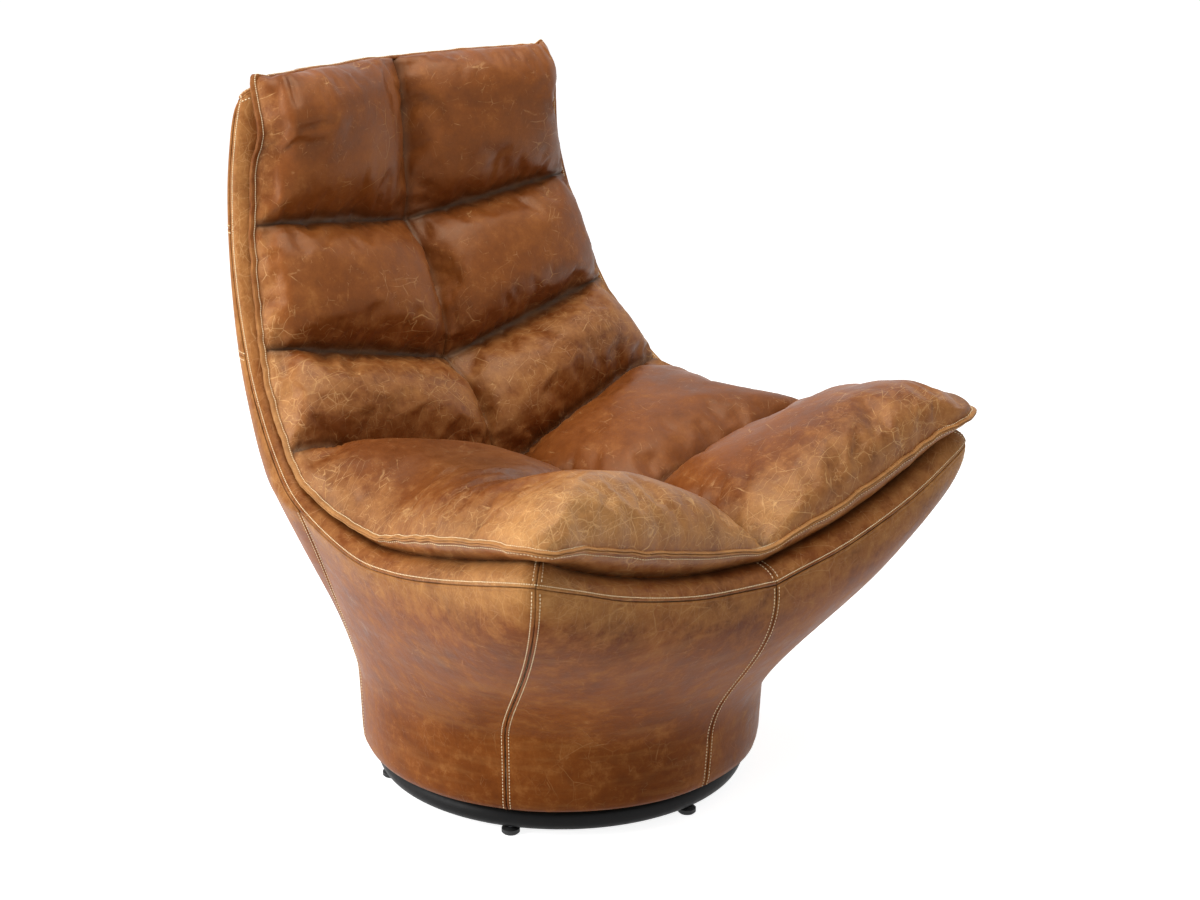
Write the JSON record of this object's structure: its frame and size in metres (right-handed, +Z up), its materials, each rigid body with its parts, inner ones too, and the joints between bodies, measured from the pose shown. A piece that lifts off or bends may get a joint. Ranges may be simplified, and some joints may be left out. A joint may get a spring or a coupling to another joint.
{
  "type": "leather swivel armchair",
  "caption": "Low swivel armchair: one flared upholstered shell with a rolled rim and a quilted leather pad, turning on a ball race over a round tubular ring base.",
  "frame": {"origin": "on the swivel axis, at floor level", "axes": "+Z up, -Y the way a sitter faces, +X to the sitter's left when seated, which is the right-hand side seen from the front"},
  "size_m": [0.8312, 0.7804, 0.938],
  "materials": {
    "leather_shell": "waxed pull-up leather, tan brown with lighter creases",
    "leather_band": "waxed pull-up leather, rubbed lighter on the roll",
    "leather_pad": "waxed pull-up leather, quilted, darker in the seams",
    "black_steel": "black powder coat, satin",
    "glide_plastic": "matt",
    "plywood": "raw birch plywood",
    "moulded_foam": "moulded foam over a steel wire frame",
    "dust_cloth": "black non-woven cloth",
    "cage_plastic": "natural nylon",
    "ball_steel": "polished",
    "zinc_steel": "zinc plated"
  },
  "bodies": {
    "base": {"base_ring": "black_steel", "base_spider": "black_steel", "glide_pads": "glide_plastic", "glide_studs": "zinc_steel", "swivel_lower_plate": "zinc_steel", "base_bolts": "zinc_steel", "base_nuts": "zinc_steel", "centre_bolt": "zinc_steel", "centre_nut": "zinc_steel"},
    "ball_cage_turn": {"ball_cage": "cage_plastic", "race_balls": "ball_steel"},
    "seat": {"swivel_upper_plate": "zinc_steel", "plate_screws": "zinc_steel", "dust_cover": "dust_cloth", "drum_board": "plywood", "drum_hoop": "plywood", "drum_posts": "plywood", "seat_deck": "plywood", "deck_screws": "zinc_steel", "shell_core": "moulded_foam", "front_panel_left": "leather_shell", "front_panel_right": "leather_shell", "side_panel_left": "leather_shell", "side_panel_right": "leather_shell", "back_panel_lower": "leather_shell", "back_panel_middle": "leather_shell", "back_panel_upper": "leather_shell", "rim_front_left": "leather_band", "rim_front_right": "leather_band", "rim_side_left": "leather_band", "rim_side_right": "leather_band", "rim_top": "leather_band", "seat_cushion": "leather_pad", "back_cushion": "leather_pad"}
  },
  "joints": [
    {"name": "swivel", "type": "hinge", "parent": "base", "child": "seat", "pos_m": [0, 0, 0.04], "axis": [0, 0, 1], "continuous": true},
    {"name": "cage_roll", "type": "hinge", "parent": "base", "child": "ball_cage_turn", "pos_m": [0, 0, 0.04], "axis": [0, 0, 1], "continuous": true}
  ],
  "couplings": [
    {"joint": "cage_roll", "follows": "swivel", "ratio": 0.5}
  ]
}
